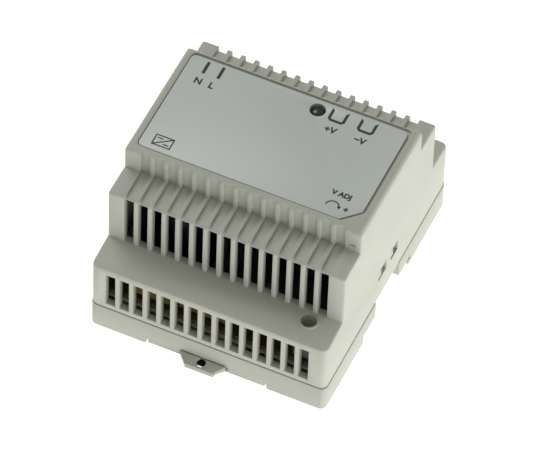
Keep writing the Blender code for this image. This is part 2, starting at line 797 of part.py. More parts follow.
def disc_on_edge(name, centre, radius, thick, stuff):
    """A coated disc that stands on edge across Y, on two short legs."""
    height = STAND_Z + 1.6 + radius
    bm = bmesh.new()
    half, flat = thick / 2, radius - 0.7
    profile = [(0, -half), (flat, -half), (radius, 0), (flat, half), (0, half)]
    add_turned(bm, profile, (centre[0], centre[1], height), "Y", 18)
    disc = new_object(name, bm, stuff=stuff)
    legs = bmesh.new()
    for side in (-1, 1):
        x = centre[0] + side * radius * 0.5
        add_box(legs, (x - 0.3, centre[1] - 0.3, STAND_Z), (x + 0.3, centre[1] + 0.3, height - radius * 0.5))
    join(disc, legs)


def box_on_legs(name, low, high, stuff, leg_x):
    """A boxed film part with a small foot step underneath."""
    bm = bmesh.new()
    add_box(bm, (low[0], low[1], STAND_Z + 0.5), (high[0], high[1], high[2]))
    bevelled = [e for e in bm.edges if min(vert.co.z for vert in e.verts) > STAND_Z + 1]
    bevel_edges(bm, bevelled, 0.6, 1)
    part = new_object(name, bm, stuff=stuff)
    feet = bmesh.new()
    middle = (low[1] + high[1]) / 2
    for x in leg_x:
        add_box(feet, (x - 0.6, middle - 1.2, STAND_Z), (x + 0.6, middle + 1.2, STAND_Z + 1))
    join(part, feet)


def power_package(name, low, toward, stuff):
    """A flat transistor package with a drilled tab and three legs, its back to a heatsink along X or Y."""

    def place(near, side, height):
        if toward == "X":
            return low[0] + near, low[1] + side, height
        return low[0] + side, low[1] + near, height

    bm = bmesh.new()
    add_box(bm, place(0, 0, 20.0), place(4.2, 10.0, 29.2))
    package = new_object(name, bm, stuff=stuff)
    more = bmesh.new()
    add_box(more, place(0, 0.1, 28.5), place(1.3, 9.9, TAB_HOLE_Z + 2.5))
    for leg in (2.0, 4.6, 7.2):
        add_box(more, place(2.0, leg, STAND_Z), place(2.7, leg + 0.8, 21.0))
    join(package, more)
    hole = bmesh.new()
    add_cylinder(hole, 1.8, -1, 3, place(0, 5.0, TAB_HOLE_Z), toward, 12)
    cut(package, hole)


def transformer(core_stuff, bobbin_stuff, tape_stuff):
    """Two-window ferrite core, a flanged bobbin on its middle leg and the taped winding on that."""
    cx, cy = 14.6, -1.5
    low, high = 17.0, 42.0
    half_x, half_y = 13.0, 5.5
    leg = 4.2
    bm = bmesh.new()
    add_box(bm, (cx - half_x, cy - half_y, low), (cx + half_x, cy + half_y, high))
    core = new_object("transformer_core", bm, stuff=core_stuff)
    windows = bmesh.new()
    for side in (-1, 1):
        near, far = sorted((cx + side * leg, cx + side * (half_x - 3.2)))
        add_box(windows, (near, cy - half_y - 1, low + 4), (far, cy + half_y + 1, high - 4))
    cut(core, windows)

    inner_x, inner_y = leg + GAP, half_y + GAP
    tube_x, tube_y = inner_x + 1.0, inner_y + 1.0
    bm = bmesh.new()
    add_box(bm, (cx - tube_x, cy - tube_y, low + 5), (cx + tube_x, cy + tube_y, high - 5))
    bobbin = new_object("transformer_bobbin", bm, stuff=bobbin_stuff)
    flanges = bmesh.new()
    grow_x = half_x - 3.2 - GAP
    for bottom, top in ((low + 4 + GAP, low + 5.8), (high - 5.8, high - 4 - GAP)):
        add_box(flanges, (cx - grow_x, cy - inner_y - 5.0, bottom), (cx + grow_x, cy + inner_y + 5.0, top))
    join(bobbin, flanges)
    shoe = bmesh.new()
    for side in (-1, 1):
        near, far = sorted((cy + side * (half_y + 2.0), cy + side * (inner_y + 5.0)))
        add_box(shoe, (cx - grow_x + 1, near, STAND_Z), (cx + grow_x - 1, far, low + 5))
    join(bobbin, shoe)
    bore = bmesh.new()
    add_box(bore, (cx - inner_x, cy - inner_y, low), (cx + inner_x, cy + inner_y, high))
    cut(bobbin, bore)

    near_x, near_y = tube_x + GAP, tube_y + GAP
    far_x, far_y = half_x - 3.2 - 2 * GAP, inner_y + 4.6
    bm = bmesh.new()
    outline = rounded_outline((cx - far_x, cy - far_y), (cx + far_x, cy + far_y), 2.4, 3)
    add_prism(bm, outline, low + 5.8 + GAP, high - 5.8 - GAP, "Z")
    winding = new_object("transformer_winding", bm, stuff=tape_stuff)
    bore = bmesh.new()
    add_box(bore, (cx - near_x, cy - near_y, low), (cx + near_x, cy + near_y, high))
    cut(winding, bore)


def filter_choke(core_stuff, copper):
    """A one-window ferrite core that stands across Y, with a square winding on each upright."""
    cx, cy = -23.0, 14.5
    low, high = STAND_Z, 37.0
    half_x, half_y, leg = 9.2, 3.2, 4.2
    bm = bmesh.new()
    add_box(bm, (cx - half_x, cy - half_y, low), (cx + half_x, cy + half_y, high))
    core = new_object("filter_choke_core", bm, stuff=core_stuff)
    window = bmesh.new()
    add_box(window, (cx - half_x + leg, cy - 9, low + leg), (cx + half_x - leg, cy + 9, high - leg))
    cut(core, window)

    thick = 2.2
    grow_x, grow_y = leg / 2 + GAP + thick, half_y + GAP + thick
    reach_x, reach_y = leg / 2 + GAP, half_y + GAP
    for number, side in enumerate((-1, 1), 1):
        x = cx + side * (half_x - leg / 2)
        bm = bmesh.new()
        outline = rounded_outline((x - grow_x, cy - grow_y), (x + grow_x, cy + grow_y), 1.6, 2)
        add_prism(bm, outline, low + leg + 0.8, high - leg - 0.8, "Z")
        winding = new_object(f"filter_choke_winding_{number}", bm, stuff=copper)
        bore = bmesh.new()
        add_box(bore, (x - reach_x, cy - reach_y, low), (x + reach_x, cy + reach_y, high))
        cut(winding, bore)


def output_choke(core_stuff, copper):
    """A ferrite bobbin core with one round winding."""
    centre = (-3.4, 24.4)
    flange, waist, height = 6.0, 2.6, 13.0
    bm = bmesh.new()
    profile = [(0, 0), (flange, 0), (flange, 1.6), (waist, 1.6), (waist, height - 1.6)]
    profile += [(flange, height - 1.6), (flange, height), (0, height)]
    add_turned(bm, profile, (*centre, STAND_Z), segments=20)
    new_object("output_choke_core", bm, stuff=core_stuff)
    bm = bmesh.new()
    low, high = 1.6 + GAP, height - 1.6 - GAP
    inner, outer = waist + GAP, flange - 0.6
    profile = [(inner, low), (outer, low), (outer, high), (inner, high)]
    add_turned(bm, profile, (*centre, STAND_Z), segments=20)
    new_object("output_choke_winding", bm, stuff=copper)


def heatsinks(stuff):
    """Two drilled upright plates, one behind the transistor and one behind the rectifier."""
    bm = bmesh.new()
    outline = [(-6.4, STAND_Z), (-4.4, STAND_Z), (-4.4, 43.0), (-6.4, 43.0)]
    add_prism(bm, outline, -25.0, 8.0, "Y")
    sink = new_object("primary_heatsink", bm, stuff=stuff)
    holes = bmesh.new()
    add_cylinder(holes, 1.8, -9, -2, (0, PRIMARY_PACKAGE[1] + 5.0, 32.0), "X", 12)
    cut(sink, holes)
    bm = bmesh.new()
    outline = [(14.0, STAND_Z), (16.0, STAND_Z), (16.0, 43.0), (14.0, 43.0)]
    add_prism(bm, outline, 11.5, 33.5, "X")
    sink = new_object("secondary_heatsink", bm, stuff=stuff)
    holes = bmesh.new()
    add_cylinder(holes, 1.8, 12, 18, (SECONDARY_PACKAGE[0] + 5.0, 0, 32.0), "Y", 12)
    cut(sink, holes)


def heatsink_screws(stuff):
    """Two screws through the drilled tabs into the plates."""
    profile = [(0, -2.2), (1.3, -2.2), (1.3, 1.6), (2.7, 1.6), (2.5, 3.2), (0, 3.4)]
    places = [
        ((PRIMARY_PACKAGE[0], PRIMARY_PACKAGE[1] + 5.0, TAB_HOLE_Z), "X"),
        ((SECONDARY_PACKAGE[0] + 5.0, SECONDARY_PACKAGE[1], TAB_HOLE_Z), "Y"),
    ]
    for number, (place, axis) in enumerate(places, 1):
        bm = bmesh.new()
        add_turned(bm, profile, place, axis, 12)
        new_object(f"heatsink_screw_{number}", bm, stuff=stuff)


def status_lamp(lens_stuff, spacer_stuff):
    """A 5 mm lamp just under the label's window, on a tall spacer tube."""
    radius = 2.25
    bm = bmesh.new()
    profile = [(0, 50.3), (radius, 50.3), (radius, 56.4)]
    for step in range(1, 4):
        angle = math.radians(90 * step / 4)
        profile.append((radius * math.cos(angle), 56.4 + 1.2 * math.sin(angle)))
    profile.append((0, 57.6))
    add_turned(bm, profile, (*LAMP, 0), segments=18)
    new_object("status_led", bm, stuff=lens_stuff)
    bm = bmesh.new()
    add_turned(bm, [(1.2, STAND_Z), (radius, STAND_Z), (radius, 50.0), (1.2, 50.0)], (*LAMP, 0), segments=12)
    new_object("led_spacer", bm, stuff=spacer_stuff)


def trimmer(body_stuff, rotor_stuff):
    """A square trimmer with a cross-slotted rotor on top."""
    x, y = TRIMMER
    bm = bmesh.new()
    add_box(bm, (x - 3.3, y - 3.5, STAND_Z), (x + 3.3, y + 3.5, 19.8))
    body = new_object("trimmer_body", bm, stuff=body_stuff)
    well = bmesh.new()
    add_cylinder(well, 2.3, 17.9, 21, (x, y, 0), segments=20)
    cut(body, well)
    bm = bmesh.new()
    add_turned(bm, [(0, 18.2), (2.0, 18.2), (2.0, 20.0), (1.8, 20.3), (0, 20.3)], (x, y, 0), segments=20)
    rotor = new_object("trimmer_rotor", bm, origin=(x, y, 18.2), stuff=rotor_stuff)
    cross = bmesh.new()
    add_box(cross, (x - 1.5, y - 0.35, 19.5), (x + 1.5, y + 0.35, 21))
    cut(rotor, cross)
    pointer = bmesh.new()
    add_box(pointer, (x - 0.35, y - 0.2, 19.4), (x + 0.35, y + 1.5, 21))
    cut(rotor, pointer)


def small_parts(black, blue, green, yellow, brown):
    """The boxed, round and flat parts that fill the board."""
    box_on_legs("filter_capacitor_1", (-12.4, -39.8, 0), (5.8, -31.9, 25.4), yellow, (-10.5, 4.0))
    box_on_legs("filter_capacitor_2", (-27.6, -40.6, 0), (-15.0, -34.6, 25.4), yellow, (-26.0, -16.6))
    can("bulk_capacitor", (-18.6, -14.6), 10.8, 30.0, blue)
    for number, x in enumerate((6.4, 16.0, 25.6), 1):
        can(f"output_capacitor_{number}", (x, 26.6), 4.0, 16.0, black)
    disc_on_edge("thermistor", (-16.4, 24.2), 5.0, 4.2, green)
    disc_on_edge("varistor", (-28.6, 25.4), 5.0, 4.0, blue)
    disc_on_edge("safety_capacitor", (12.4, -26.0), 4.0, 3.4, blue)
    bm = bmesh.new()
    add_turned(bm, [(0, 0), (4.1, 0), (4.1, 7.4), (3.7, 7.8), (0, 7.8)], (-15.6, 36.0, STAND_Z), segments=18)
    new_object("input_fuse", bm, stuff=brown)
    box_on_legs("bridge_rectifier", (-34.3, -28.4, 0), (-30.7, -12.0, 30.0), black, (-32.5,))
    chip("optocoupler", (28.9, 2.0, STAND_Z), (33.5, 8.5, STAND_Z + 3.6), black)
    chip("controller_chip", (28.2, -18.0, STAND_Z), (33.6, -9.0, STAND_Z + 3.4), black)


# ---------------------------------------------------------------- assembly


def main():
    for obj in list(bpy.data.objects):
        bpy.data.objects.remove(obj, do_unlink=True)
    carrier = bpy.data.objects.new("power_supply", None)
    carrier.location = (0, TAB_OUT / 2 * MM, 0)
    bpy.context.scene.collection.objects.link(carrier)

    housing = material("housing_plastic", (0.56, 0.57, 0.53), 0.55)
    label = material("label_film", (0.40, 0.45, 0.43), 0.45)
    clip = material("clip_plastic", (0.50, 0.51, 0.48), 0.5)
    terminal = material("terminal_plastic", (0.10, 0.22, 0.12), 0.5)
    steel = material("zinc_plated_steel", (0.60, 0.60, 0.58), 0.35, 1.0)
    brass = material("brass", (0.70, 0.55, 0.25), 0.35, 1.0)
    aluminium = material("aluminium", (0.70, 0.71, 0.72), 0.4, 1.0)
    copper = material("enamelled_copper", (0.55, 0.22, 0.08), 0.35, 0.9)
    ferrite = material("ferrite", (0.05, 0.05, 0.055), 0.6)
    board = material("board_laminate", (0.30, 0.20, 0.09), 0.5)
    sheet = material("insulation_film", (0.75, 0.75, 0.72), 0.6)
    black = material("black_resin", (0.02, 0.02, 0.022), 0.45)
    blue = material("blue_sleeve", (0.04, 0.09, 0.22), 0.35)
    green = material("green_coating", (0.05, 0.16, 0.08), 0.5)
    yellow = material("yellow_tape", (0.55, 0.42, 0.06), 0.45)
    brown = material("brown_case", (0.16, 0.07, 0.03), 0.5)
    lens = material("green_lens", (0.05, 0.09, 0.05), 0.15)
    white = material("white_nylon", (0.75, 0.74, 0.70), 0.5)

    cover = cover_shell(housing)
    add_trimmer_collar(cover)
    cut_slots(cover)
    cut_openings(cover)
    front_label(label)
    base = base_tray(housing)
    add_base_inside(base)
    cut_base_openings(base)
    rail_clip(clip)
    clip_spring(steel)

    circuit_board(board)
    insulation_sheet(sheet)
    for number, (x, y) in enumerate(BOARD_SCREWS, 1):
        board_screw(f"board_screw_{number}", x, y, steel)
    plus, minus = OUTPUT_X[:2], OUTPUT_X[2:]
    terminal_block("input_terminal_block", INPUT_X, [], terminal)
    terminal_block("output_terminal_block", OUTPUT_X, [plus, minus], terminal)
    contact("contact_neutral", INPUT_X[:1], brass)
    contact("contact_live", INPUT_X[1:], brass)
    contact("contact_plus", plus, brass)
    contact("contact_minus", minus, brass)
    names = ["neutral", "live", "plus_1", "plus_2", "minus_1", "minus_2"]
    for name, x in zip(names, INPUT_X + OUTPUT_X):
        terminal_screw(f"terminal_screw_{name}", x, steel)
        clamp_cage(f"clamp_{name}", x, steel)

    status_lamp(lens, white)
    trimmer(blue, white)
    small_parts(black, blue, green, yellow, brown)
    filter_choke(ferrite, copper)
    output_choke(ferrite, copper)
    transformer(ferrite, black, yellow)
    heatsinks(aluminium)
    heatsink_screws(steel)
    power_package("switching_transistor", PRIMARY_PACKAGE, "X", black)
    power_package("output_rectifier", SECONDARY_PACKAGE, "Y", black)


main()
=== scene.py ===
import math

import bmesh
import bpy
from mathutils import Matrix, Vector


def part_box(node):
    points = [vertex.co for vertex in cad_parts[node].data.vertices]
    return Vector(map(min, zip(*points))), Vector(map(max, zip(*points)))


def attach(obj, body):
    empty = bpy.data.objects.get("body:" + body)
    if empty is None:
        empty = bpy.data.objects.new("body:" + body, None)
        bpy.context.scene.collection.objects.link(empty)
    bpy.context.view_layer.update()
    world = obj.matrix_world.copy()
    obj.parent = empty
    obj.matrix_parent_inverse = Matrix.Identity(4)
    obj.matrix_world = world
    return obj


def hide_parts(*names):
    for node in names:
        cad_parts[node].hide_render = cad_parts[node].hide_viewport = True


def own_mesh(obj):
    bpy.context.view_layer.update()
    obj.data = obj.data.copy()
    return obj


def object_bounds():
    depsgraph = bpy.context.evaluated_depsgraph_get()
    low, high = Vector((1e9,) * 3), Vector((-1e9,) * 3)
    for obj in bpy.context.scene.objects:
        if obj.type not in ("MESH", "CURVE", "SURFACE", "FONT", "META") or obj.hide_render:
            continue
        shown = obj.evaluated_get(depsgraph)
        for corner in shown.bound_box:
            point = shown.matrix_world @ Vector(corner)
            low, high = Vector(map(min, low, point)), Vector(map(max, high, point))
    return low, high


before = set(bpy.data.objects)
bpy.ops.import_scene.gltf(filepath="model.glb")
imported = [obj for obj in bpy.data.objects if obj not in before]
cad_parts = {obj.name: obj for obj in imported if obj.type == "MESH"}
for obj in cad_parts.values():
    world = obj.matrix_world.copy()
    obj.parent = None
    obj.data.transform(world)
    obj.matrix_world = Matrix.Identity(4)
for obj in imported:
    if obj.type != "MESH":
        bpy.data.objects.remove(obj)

# Everything is in metres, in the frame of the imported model. Sizes below are typed in millimetres.
mm = 0.001
edgeSteps = 2
smoothAngle = math.radians(38)  # faces that meet flatter than this are shaded as one surface
sameSpot = 0.002 * mm  # points closer than this are one point
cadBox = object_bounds()
coverLow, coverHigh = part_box("cover")
labelLow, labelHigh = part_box("front_label")
housingY = (coverLow.y + coverHigh.y) / 2  # the pull tab moves the housing's middle off the model's

scene = bpy.context.scene
scene.view_settings.view_transform = "Standard"  # colours as they are, with no film curve


# small helpers

def linearFrom(hexColour):
    channels = [int(hexColour[i:i + 2], 16) / 255 for i in (1, 3, 5)]
    linear = [c / 12.92 if c <= 0.04045 else ((c + 0.055) / 1.055) ** 2.4 for c in channels]
    return (*linear, 1.0)


def addNode(tree, kind, settings=None, links=None):
    node = tree.nodes.new(kind)
    for name, value in (settings or {}).items():
        setattr(node, name, value)
    for name, value in (links or {}).items():
        if isinstance(value, bpy.types.NodeSocket):
            tree.links.new(value, node.inputs[name])
        else:
            node.inputs[name].default_value = value
    return node


def at(x, y, z):
    # a point drawn about the middle of the housing, in millimetres
    return Vector((x * mm, y * mm + housingY, z * mm))


def takeUp(piece):
    bpy.ops.object.select_all(action="DESELECT")
    piece.select_set(True)
    bpy.context.view_layer.objects.active = piece
    return piece


def editing(piece):
    takeUp(piece)
    bpy.ops.object.mode_set(mode="EDIT")
    return bmesh.from_edit_mesh(piece.data)


def pick(piece, mesh, kind, test):
    # selects only the faces, edges or points that pass the test
    bpy.ops.mesh.select_mode(type=kind)
    bpy.ops.mesh.select_all(action="DESELECT")
    parts = {"FACE": mesh.faces, "EDGE": mesh.edges, "VERT": mesh.verts}[kind]
    for part in parts:
        part.select_set(bool(test(part)))
    bmesh.update_edit_mesh(piece.data)


def doneEditing():
    bpy.ops.object.mode_set(mode="OBJECT")


def applyAll(piece):
    takeUp(piece)
    for modifier in list(piece.modifiers):
        bpy.ops.object.modifier_apply(modifier=modifier.name)
    bpy.ops.object.transform_apply(location=True, rotation=True, scale=True)
    return piece


def soften(piece, look):
    # small round on every edge that turns more than the limit, then smooth shading between flat faces
    takeUp(piece)
    edge = piece.modifiers.new("edge", "BEVEL")
    edge.width = look["edgeMm"] * mm
    edge.segments = edgeSteps
    edge.limit_method = "ANGLE"
    edge.angle_limit = math.radians(look.get("edgeAngle", 40))
    edge.use_clamp_overlap = look.get("clamp", True)
    applyAll(piece)
    bpy.ops.object.shade_smooth_by_angle(angle=smoothAngle)
    return piece


def copyOf(nodeName, pieceName):
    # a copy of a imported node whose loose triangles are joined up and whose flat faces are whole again
    piece = bpy.data.objects.new(pieceName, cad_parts[nodeName].data.copy())
    scene.collection.objects.link(piece)
    piece.data.materials.clear()
    editing(piece)
    bpy.ops.mesh.select_all(action="SELECT")
    bpy.ops.mesh.remove_doubles(threshold=0.004 * mm)
    bpy.ops.mesh.dissolve_limited(angle_limit=math.radians(0.4))
    bpy.ops.mesh.customdata_custom_splitnormals_clear()
    doneEditing()
    return piece


def settle(piece, body, slot, stuff, *nodes):
    if not piece.data.materials:
        piece.data.materials.append(stuff)
    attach(piece, body)
    if nodes:
        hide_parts(*nodes)
    return piece


def newMaterial(name):
    stuff = bpy.data.materials.new(name)
    stuff.use_nodes = True
    tree = stuff.node_tree
    return stuff, tree, tree.nodes["Principled BSDF"]


# materials

def surface(name, look):
    # one material with a mottled colour, an uneven gloss and a fine grain, all in real sizes
    stuff, tree, shader = newMaterial(name)
    place = addNode(tree, "ShaderNodeTexCoord").outputs["Object"]
    cloud = addNode(tree, "ShaderNodeTexNoise", links={
        "Vector": place, "Scale": 1 / (look["cloudMm"] * mm), "Detail": 4.0})
    colour = addNode(tree, "ShaderNodeMix", {"data_type": "RGBA"}, {
        "Factor": cloud.outputs["Fac"], "A": linearFrom(look["dark"]), "B": linearFrom(look["light"])})
    tree.links.new(colour.outputs["Result"], shader.inputs["Base Color"])
    grain = addNode(tree, "ShaderNodeTexNoise", links={
        "Vector": place, "Scale": 1 / (look["grainMm"] * mm), "Detail": 3.0, "Roughness": 0.6})
    gloss = addNode(tree, "ShaderNodeMapRange", links={
        "Value": grain.outputs["Fac"], "To Min": look["gloss"][0], "To Max": look["gloss"][1]})
    tree.links.new(gloss.outputs["Result"], shader.inputs["Roughness"])
    bump = addNode(tree, "ShaderNodeBump", links={
        "Height": grain.outputs["Fac"], "Strength": look["bump"], "Distance": look["depthMm"] * mm})
    tree.links.new(bump.outputs["Normal"], shader.inputs["Normal"])
    shader.inputs["Metallic"].default_value = look.get("metal", 0.0)
    if "ior" in look:
        shader.inputs["IOR"].default_value = look["ior"]
    if "coat" in look:
        shader.inputs["Coat Weight"].default_value = look["coat"]
        shader.inputs["Coat Roughness"].default_value = look["coatGloss"]
    return stuff


# ABS and polycarbonate blend, moulded in a spark-eroded tool: a soft satin grey with a fine even grain
housingPlastic = surface("mouldedGreyAbs", {
    "light": "#bfc1b4", "dark": "#b8baad", "cloudMm": 22, "grainMm": 0.55, "gloss": (0.50, 0.64),
    "bump": 0.22, "depthMm": 0.06, "ior": 1.53})
# acetal, moulded in a polished tool: a little whiter and slicker than the housing
clipPlastic = surface("mouldedGreyAcetal", {
    "light": "#bcbdb0", "dark": "#b4b5a8", "cloudMm": 9, "grainMm": 0.8, "gloss": (0.36, 0.46),
    "bump": 0.12, "depthMm": 0.05, "ior": 1.48})
# polyester film with a fine velvet finish, laid into the recess: cooler and lighter than the plastic
labelFilm = surface("velvetPolyesterFilm", {
    "light": "#cdd4ce", "dark": "#c9d0ca", "cloudMm": 30, "grainMm": 0.9, "gloss": (0.34, 0.44),
    "bump": 0.06, "depthMm": 0.03, "ior": 1.57})
# screen ink: matt and almost black
blackInk = surface("blackScreenInk", {
    "light": "#373a37", "dark": "#303330", "cloudMm": 2, "grainMm": 0.4, "gloss": (0.5, 0.62),
    "bump": 0.05, "depthMm": 0.02, "ior": 1.5})
# the same ink in a dull red-brown
redInk = surface("redBrownScreenInk", {
    "light": "#5d3f42", "dark": "#4d3337", "cloudMm": 1.5, "grainMm": 0.4, "gloss": (0.5, 0.62),
    "bump": 0.05, "depthMm": 0.02, "ior": 1.5})
# glass-filled polyamide, moulded green, with a dry sheen
terminalPlastic = surface("mouldedGreenPolyamide", {
    "light": "#3f7350", "dark": "#356646", "cloudMm": 5, "grainMm": 0.35, "gloss": (0.42, 0.58),
    "bump": 0.25, "depthMm": 0.05, "ior": 1.53})
# zinc on steel, passivated blue: bright grey with a faint cloudiness
zincSteel = surface("zincPlatedSteel", {
    "light": "#c6c8ca", "dark": "#a3a6a8", "cloudMm": 1.6, "grainMm": 0.3, "gloss": (0.26, 0.42),
    "bump": 0.15, "depthMm": 0.02, "metal": 1.0})
# brass strip, stamped, slightly dulled
stampedBrass = surface("stampedBrass", {
    "light": "#cfae66", "dark": "#b08d49", "cloudMm": 2.2, "grainMm": 0.3, "gloss": (0.28, 0.42),
    "bump": 0.12, "depthMm": 0.02, "metal": 1.0})
# mill-finish aluminium sheet: soft grey with rolling streaks
millAluminium = surface("millFinishAluminium", {
    "light": "#c9cbcd", "dark": "#a9acae", "cloudMm": 6, "grainMm": 0.4, "gloss": (0.32, 0.48),
    "bump": 0.15, "depthMm": 0.02, "metal": 1.0})
# copper wire under clear amber enamel: warm metal with a glassy skin
enamelledCopper = surface("enamelledCopperWire", {
    "light": "#b8703c", "dark": "#8f4c22", "cloudMm": 3, "grainMm": 0.5, "gloss": (0.24, 0.36),
    "bump": 0.05, "depthMm": 0.02, "metal": 0.85, "coat": 0.6, "coatGloss": 0.12})
# manganese-zinc ferrite, pressed and sintered: dark grey and faintly grainy
sinteredFerrite = surface("sinteredFerrite", {
    "light": "#3d3e42", "dark": "#2c2d30", "cloudMm": 4, "grainMm": 0.35, "gloss": (0.45, 0.7),
    "bump": 0.35, "depthMm": 0.05, "ior": 1.8})
# polyester insulation sheet: milky and smooth
milkyFilm = surface("milkyPolyesterSheet", {
    "light": "#dad9d2", "dark": "#cfcec7", "cloudMm": 12, "grainMm": 1.2, "gloss": (0.28, 0.4),
    "bump": 0.05, "depthMm": 0.03, "ior": 1.57})
# epoxy moulding compound: matt black, slightly peppered
blackEpoxy = surface("mouldedBlackEpoxy", {
    "light": "#2a2a2b", "dark": "#1c1c1d", "cloudMm": 3, "grainMm": 0.25, "gloss": (0.42, 0.6),
    "bump": 0.25, "depthMm": 0.03, "ior": 1.55})
# vinyl sleeve shrunk over the can: glossy, with a slight orange peel; its blue is darkened to a near-black
# navy as painted shade of the dark inside of the housing
blueSleeveWithPaintedShade = surface("shrunkBlueVinyl", {
    "light": "#16222f", "dark": "#101a24", "cloudMm": 7, "grainMm": 1.6, "gloss": (0.2, 0.32),
    "bump": 0.12, "depthMm": 0.05, "ior": 1.53})
# the same sleeve in black
blackSleeve = surface("shrunkBlackVinyl", {
    "light": "#1c1d20", "dark": "#141517", "cloudMm": 5, "grainMm": 1.4, "gloss": (0.2, 0.32),
    "bump": 0.12, "depthMm": 0.05, "ior": 1.53})
# pale ink printed down the sleeve on the minus side
paleStripe = surface("palePrintedStripe", {
    "light": "#c9ccd2", "dark": "#b9bcc4", "cloudMm": 4, "grainMm": 1.2, "gloss": (0.24, 0.36),
    "bump": 0.08, "depthMm": 0.04, "ior": 1.53})
# dipped phenolic coating: uneven, waxy
greenDip = surface("dippedGreenPhenolic", {
    "light": "#3c6346", "dark": "#2e4e37", "cloudMm": 2.5, "grainMm": 0.7, "gloss": (0.34, 0.5),
    "bump": 0.35, "depthMm": 0.12, "ior": 1.55})
# dipped epoxy: a little glossier than the phenolic
blueDip = surface("dippedBlueEpoxy", {
    "light": "#223f69", "dark": "#1b3355", "cloudMm": 2.5, "grainMm": 0.7, "gloss": (0.28, 0.42),
    "bump": 0.3, "depthMm": 0.12, "ior": 1.55})
# moulded polyester case of a film capacitor: yellow, satin; its colour is darkened to olive as painted shade
# of the dark inside of the housing, where it shows through the slots
yellowCaseWithPaintedShade = surface("mouldedYellowPbt", {
    "light": "#746a2b", "dark": "#5f5622", "cloudMm": 6, "grainMm": 0.5, "gloss": (0.4, 0.52),
    "bump": 0.15, "depthMm": 0.04, "ior": 1.55})
# polyester winding tape: smooth and rather shiny
yellowTape = surface("yellowPolyesterTape", {
    "light": "#8a7d2c", "dark": "#746822", "cloudMm": 5, "grainMm": 1.0, "gloss": (0.18, 0.3),
    "bump": 0.12, "depthMm": 0.05, "ior": 1.6})
# thermoset of the trimmer body: mid grey and dry
greyThermoset = surface("mouldedGreyThermoset", {
    "light": "#6b7276", "dark": "#5b6165", "cloudMm": 2, "grainMm": 0.3, "gloss": (0.4, 0.55),
    "bump": 0.2, "depthMm": 0.03, "ior": 1.55})
# moulded polyester case of the fuse: dark brown, satin
brownCase = surface("mouldedBrownPbt", {
    "light": "#5a3c2a", "dark": "#4a3021", "cloudMm": 4, "grainMm": 0.4, "gloss": (0.4, 0.55),
    "bump": 0.2, "depthMm": 0.04, "ior": 1.55})
# diffused epoxy lens, unlit: dark bottle green with a glossy dome
greenLens = surface("diffusedGreenEpoxy", {
    "light": "#2f3f36", "dark": "#222d27", "cloudMm": 1.5, "grainMm": 1.0, "gloss": (0.12, 0.2),
    "bump": 0.04, "depthMm": 0.02, "ior": 1.55})
# nylon spacer: off-white and slightly waxy
whiteNylon = surface("mouldedWhiteNylon", {
    "light": "#dddcd4", "dark": "#d2d1c9", "cloudMm": 3, "grainMm": 0.4, "gloss": (0.38, 0.5),
    "bump": 0.12, "depthMm": 0.03, "ior": 1.53})
# paper laminate under a brown-green solder resist, with faint copper runs showing through
boardLaminate = surface("brownPaperLaminate", {
    "light": "#4c3f26", "dark": "#3a301d", "cloudMm": 2.5, "grainMm": 0.6, "gloss": (0.3, 0.45),
    "bump": 0.2, "depthMm": 0.04, "ior": 1.55})
print("materials done")


# housing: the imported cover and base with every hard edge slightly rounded, as a mould leaves it

housingLook = {"edgeMm": 0.08, "edgeAngle": 42, "clamp": False}
coverShell = soften(copyOf("cover", "coverShell"), housingLook)
settle(coverShell, "housing", "housing_plastic", housingPlastic, "cover")
baseShell = soften(copyOf("base", "baseShell"), housingLook)
settle(baseShell, "housing", "housing_plastic", housingPlastic, "base")
railClip = soften(copyOf("rail_clip", "railClip"), {"edgeMm": 0.12, "clamp": False})
settle(railClip, "rail_clip", "clip_plastic", clipPlastic, "rail_clip")
labelPanel = soften(copyOf("front_label", "labelPanel"), {"edgeMm": 0.05, "clamp": False})
settle(labelPanel, "housing", "label_film", labelFilm, "front_label")
print("housing done")


# turned and moulded pieces inside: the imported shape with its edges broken

insidePieces = (
    # node starts, body, slot, finish, edge in millimetres
    ("terminal_screw_", None, "zinc_plated_steel", zincSteel, 0.12),
    ("clamp_", None, "zinc_plated_steel", zincSteel, 0.12),
    ("board_screw_", "housing", "zinc_plated_steel", zincSteel, 0.12),
    ("heatsink_screw_", "housing", "zinc_plated_steel", zincSteel, 0.12),
    ("contact_", "housing", "brass", stampedBrass, 0.08),
    ("trimmer_rotor", "trimmer_rotor", "white_nylon", blackEpoxy, 0.1),
    ("trimmer_body", "housing", "black_resin", greyThermoset, 0.15),
    ("primary_heatsink", "housing", "aluminium", millAluminium, 0.15),
    ("secondary_heatsink", "housing", "aluminium", millAluminium, 0.15),
    ("transformer_core", "housing", "ferrite", sinteredFerrite, 0.3),
    ("filter_choke_core", "housing", "ferrite", sinteredFerrite, 0.4),
    ("output_choke_core", "housing", "ferrite", sinteredFerrite, 0.4),
    ("input_terminal_block", "housing", "terminal_plastic", terminalPlastic, 0.15),
    ("output_terminal_block", "housing", "terminal_plastic", terminalPlastic, 0.15),
    ("filter_capacitor_", "housing", "yellow_tape", yellowCaseWithPaintedShade, 0.5),
    ("safety_capacitor", "housing", "blue_sleeve", blueDip, 0.4),
    ("varistor", "housing", "blue_sleeve", blueDip, 0.4),
    ("thermistor", "housing", "green_coating", greenDip, 0.4),
    ("input_fuse", "housing", "brown_case", brownCase, 0.4),
    ("led_spacer", "housing", "white_nylon", whiteNylon, 0.15),
    ("status_led", "housing", "green_lens", greenLens, 0.12),
    ("bridge_rectifier", "housing", "black_resin", blackEpoxy, 0.2),
    ("switching_transistor", "housing", "black_resin", blackEpoxy, 0.15),
    ("output_rectifier", "housing", "black_resin", blackEpoxy, 0.15),
)


def pieceName(node):
    words = node.split("_")
    return words[0] + "".join(word.capitalize() for word in words[1:])


for starts, body, slot, stuff, edgeMm in insidePieces:
    for node in [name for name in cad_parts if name.startswith(starts)]:
        piece = soften(copyOf(node, pieceName(node)), {"edgeMm": edgeMm})
        settle(piece, body or node, slot, stuff, node)
print("inside pieces done")


# capacitors: a can in a shrunk sleeve, its stripe, and a scored vent in the crown

